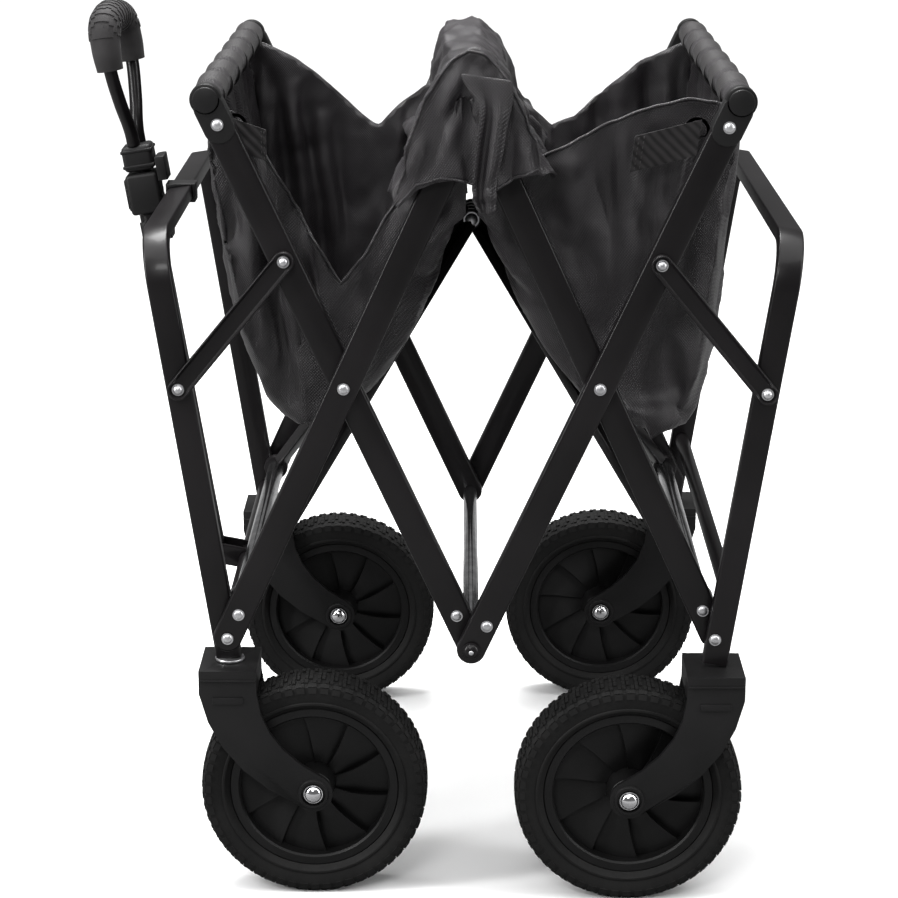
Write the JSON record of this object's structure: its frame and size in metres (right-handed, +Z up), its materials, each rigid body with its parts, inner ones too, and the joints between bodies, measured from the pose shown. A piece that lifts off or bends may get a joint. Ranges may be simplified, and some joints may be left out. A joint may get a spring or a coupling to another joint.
{
  "type": "folding garden wagon",
  "caption": "Black folding garden wagon with a fabric basket, shown half folded, with swivelling front wheels and a pull handle that folds, slides out and clips to the frame.",
  "frame": {"origin": "on the ground, under the middle of the whole wagon's bounding box", "axes": "+Z up, +X to the rear (the pull handle is at -X), -Y the near side"},
  "size_m": [0.6228, 0.5646, 0.7612],
  "materials": {
    "black_steel": "satin black powder coat",
    "bare_steel": "bright zinc",
    "black_plastic": "moulded, fine grain",
    "tyre": "matt moulded tread",
    "cloth": "woven polyester, fine diagonal weave",
    "grip": "foam grip, ribbed"
  },
  "bodies": {
    "keel": {"keel_tube": "black_steel"},
    "front_rail_arms": {"front_rail_arm_near": "black_steel", "front_rail_arm_far": "black_steel", "front_top_rail": "black_steel", "front_rail_cap_near": "black_plastic", "front_rail_cap_far": "black_plastic", "basket_front": "cloth"},
    "rear_rail_arms": {"rear_rail_arm_near": "black_steel", "rear_rail_arm_far": "black_steel", "rear_top_rail": "black_steel", "rear_rail_cap_near": "black_plastic", "rear_rail_cap_far": "black_plastic", "basket_rear": "cloth"},
    "front_wheel_arms": {"front_wheel_arm_near": "black_steel", "front_wheel_arm_far": "black_steel", "front_cross_tube": "black_steel"},
    "rear_wheel_arms": {"rear_wheel_arm_near": "black_steel", "rear_wheel_arm_far": "black_steel", "rear_cross_tube": "black_steel"},
    "peak": {"peak_bolt_near": "bare_steel", "peak_bolt_far": "bare_steel", "basket_peak": "cloth", "pull_strap": "cloth"},
    "front_end": {"front_end_frame": "black_steel", "crossbar_clip": "black_plastic", "handle_yoke": "black_steel", "kingpin_near": "bare_steel", "kingpin_far": "bare_steel"},
    "rear_end": {"rear_end_frame": "black_steel", "rear_fork_near": "black_plastic", "rear_fork_far": "black_plastic", "rear_axle_near": "bare_steel", "rear_axle_far": "bare_steel"},
    "front_caster_near": {"front_fork_near": "black_plastic", "front_axle_near": "bare_steel"},
    "front_caster_far": {"front_fork_far": "black_plastic", "front_axle_far": "bare_steel"},
    "front_wheel_near": {"front_tyre_near": "tyre", "front_rim_near": "black_plastic"},
    "front_wheel_far": {"front_tyre_far": "tyre", "front_rim_far": "black_plastic"},
    "rear_wheel_near": {"rear_tyre_near": "tyre", "rear_rim_near": "black_plastic"},
    "rear_wheel_far": {"rear_tyre_far": "tyre", "rear_rim_far": "black_plastic"},
    "handle_outer": {"handle_outer_tube": "black_steel", "handle_clamp": "black_plastic"},
    "handle_inner": {"handle_stem": "black_plastic", "handle_loop": "black_steel", "handle_grip": "grip"},
    "clamp_lever": {"clamp_lever": "black_plastic"},
    "front_strut_near": {"front_strut_near": "black_steel"},
    "front_floor_arm_near": {"front_floor_arm_near": "black_steel"},
    "front_strut_far": {"front_strut_far": "black_steel"},
    "front_floor_arm_far": {"front_floor_arm_far": "black_steel"},
    "rear_strut_near": {"rear_strut_near": "black_steel"},
    "rear_floor_arm_near": {"rear_floor_arm_near": "black_steel"},
    "rear_strut_far": {"rear_strut_far": "black_steel"},
    "rear_floor_arm_far": {"rear_floor_arm_far": "black_steel"}
  },
  "joints": [
    {"name": "fold", "type": "hinge", "parent": "keel", "child": "front_rail_arms", "pos_m": [0.03218, 0, 0.2285], "axis": [0, -1, 0], "range_deg": [-4, 24.7], "deforming": ["basket_front", "basket_rear", "basket_peak", "pull_strap"]},
    {"name": "rear_fold", "type": "hinge", "parent": "keel", "child": "rear_rail_arms", "pos_m": [0.03218, 0, 0.2285], "axis": [0, 1, 0], "range_deg": [-4.1, 24.8]},
    {"name": "front_scissor", "type": "hinge", "parent": "front_rail_arms", "child": "front_wheel_arms", "pos_m": [-0.07583, 0, 0.4628], "axis": [0, -1, 0], "range_deg": [-49.5, 8.1]},
    {"name": "rear_scissor", "type": "hinge", "parent": "rear_rail_arms", "child": "rear_wheel_arms", "pos_m": [0.1402, 0, 0.4628], "axis": [0, 1, 0], "range_deg": [-49.5, 8.1]},
    {"name": "front_end_swing", "type": "hinge", "parent": "front_wheel_arms", "child": "front_end", "pos_m": [-0.17882, 0, 0.2394], "axis": [0, -1, 0], "range_deg": [-4.1, 24.8]},
    {"name": "rear_end_swing", "type": "hinge", "parent": "rear_wheel_arms", "child": "rear_end", "pos_m": [0.24319, 0, 0.2394], "axis": [0, 1, 0], "range_deg": [-4.1, 24.8]},
    {"name": "peak_level", "type": "hinge", "parent": "front_wheel_arms", "child": "peak", "pos_m": [0.03218, 0, 0.6971], "axis": [0, -1, 0], "range_deg": [-4.1, 24.8]},
    {"name": "front_strut_near_pivot", "type": "hinge", "parent": "front_rail_arms", "child": "front_strut_near", "pos_m": [-0.12523, -0.2415, 0.56996], "axis": [0, -1, 0], "range_deg": [-68.4, 11.16]},
    {"name": "front_floor_arm_near_pivot", "type": "hinge", "parent": "front_wheel_arms", "child": "front_floor_arm_near", "pos_m": [-0.16877, -0.205, 0.26119], "axis": [0, -1, 0], "range_deg": [-12.45, 2.1]},
    {"name": "front_strut_far_pivot", "type": "hinge", "parent": "front_rail_arms", "child": "front_strut_far", "pos_m": [-0.12523, 0.2415, 0.56996], "axis": [0, -1, 0], "range_deg": [-68.4, 11.16]},
    {"name": "front_floor_arm_far_pivot", "type": "hinge", "parent": "front_wheel_arms", "child": "front_floor_arm_far", "pos_m": [-0.16877, 0.205, 0.26119], "axis": [0, -1, 0], "range_deg": [-12.45, 2.1]},
    {"name": "rear_strut_near_pivot", "type": "hinge", "parent": "rear_rail_arms", "child": "rear_strut_near", "pos_m": [0.1896, -0.2545, 0.56996], "axis": [0, 1, 0], "range_deg": [-68.4, 11.16]},
    {"name": "rear_floor_arm_near_pivot", "type": "hinge", "parent": "rear_wheel_arms", "child": "rear_floor_arm_near", "pos_m": [0.23314, -0.205, 0.26119], "axis": [0, 1, 0], "range_deg": [-12.45, 2.1]},
    {"name": "rear_strut_far_pivot", "type": "hinge", "parent": "rear_rail_arms", "child": "rear_strut_far", "pos_m": [0.1896, 0.2545, 0.56996], "axis": [0, 1, 0], "range_deg": [-68.4, 11.16]},
    {"name": "rear_floor_arm_far_pivot", "type": "hinge", "parent": "rear_wheel_arms", "child": "rear_floor_arm_far", "pos_m": [0.23314, 0.205, 0.26119], "axis": [0, 1, 0], "range_deg": [-12.45, 2.1]},
    {"name": "caster_swivel_near", "type": "hinge", "parent": "front_end", "child": "front_caster_near", "pos_m": [-0.17882, -0.231, 0.2025], "axis": [0, 0, 1], "continuous": true},
    {"name": "caster_swivel_far", "type": "hinge", "parent": "front_end", "child": "front_caster_far", "pos_m": [-0.17882, 0.231, 0.2025], "axis": [0, 0, 1], "continuous": true},
    {"name": "front_wheel_near_spin", "type": "hinge", "parent": "front_caster_near", "child": "front_wheel_near", "pos_m": [-0.10582, -0.231, 0.09937], "axis": [0, 1, 0], "continuous": true},
    {"name": "front_wheel_far_spin", "type": "hinge", "parent": "front_caster_far", "child": "front_wheel_far", "pos_m": [-0.10582, 0.231, 0.09937], "axis": [0, 1, 0], "continuous": true},
    {"name": "rear_wheel_near_spin", "type": "hinge", "parent": "rear_end", "child": "rear_wheel_near", "pos_m": [0.17019, -0.244, 0.09937], "axis": [0, 1, 0], "continuous": true},
    {"name": "rear_wheel_far_spin", "type": "hinge", "parent": "rear_end", "child": "rear_wheel_far", "pos_m": [0.17019, 0.244, 0.09937], "axis": [0, 1, 0], "continuous": true},
    {"name": "handle_fold", "type": "hinge", "parent": "front_end", "child": "handle_outer", "pos_m": [-0.21282, 0, 0.2394], "axis": [0, -1, 0], "range_deg": [0, 95]},
    {"name": "handle_slide", "type": "slide", "parent": "handle_outer", "child": "handle_inner", "axis": [-0.1582, 0, 0.9874], "range_m": [0, 0.22]},
    {"name": "clamp_lever_pivot", "type": "hinge", "parent": "handle_outer", "child": "clamp_lever", "pos_m": [-0.25037, 0.0105, 0.59899], "axis": [-0.1582, 0, 0.9874], "range_deg": [0, 100]}
  ],
  "couplings": [
    {"joint": "rear_fold", "follows": "fold", "ratio": 1},
    {"joint": "front_scissor", "follows": "fold", "ratio": -2},
    {"joint": "rear_scissor", "follows": "fold", "ratio": -2},
    {"joint": "front_end_swing", "follows": "fold", "ratio": 1},
    {"joint": "rear_end_swing", "follows": "fold", "ratio": 1},
    {"joint": "peak_level", "follows": "fold", "ratio": 1},
    {"joint": "front_strut_near_pivot", "follows": "fold", "ratio": -2.7651},
    {"joint": "front_floor_arm_near_pivot", "follows": "fold", "ratio": -0.5},
    {"joint": "front_strut_far_pivot", "follows": "fold", "ratio": -2.7651},
    {"joint": "front_floor_arm_far_pivot", "follows": "fold", "ratio": -0.5},
    {"joint": "rear_strut_near_pivot", "follows": "fold", "ratio": -2.7651},
    {"joint": "rear_floor_arm_near_pivot", "follows": "fold", "ratio": -0.5},
    {"joint": "rear_strut_far_pivot", "follows": "fold", "ratio": -2.7651},
    {"joint": "rear_floor_arm_far_pivot", "follows": "fold", "ratio": -0.5}
  ]
}
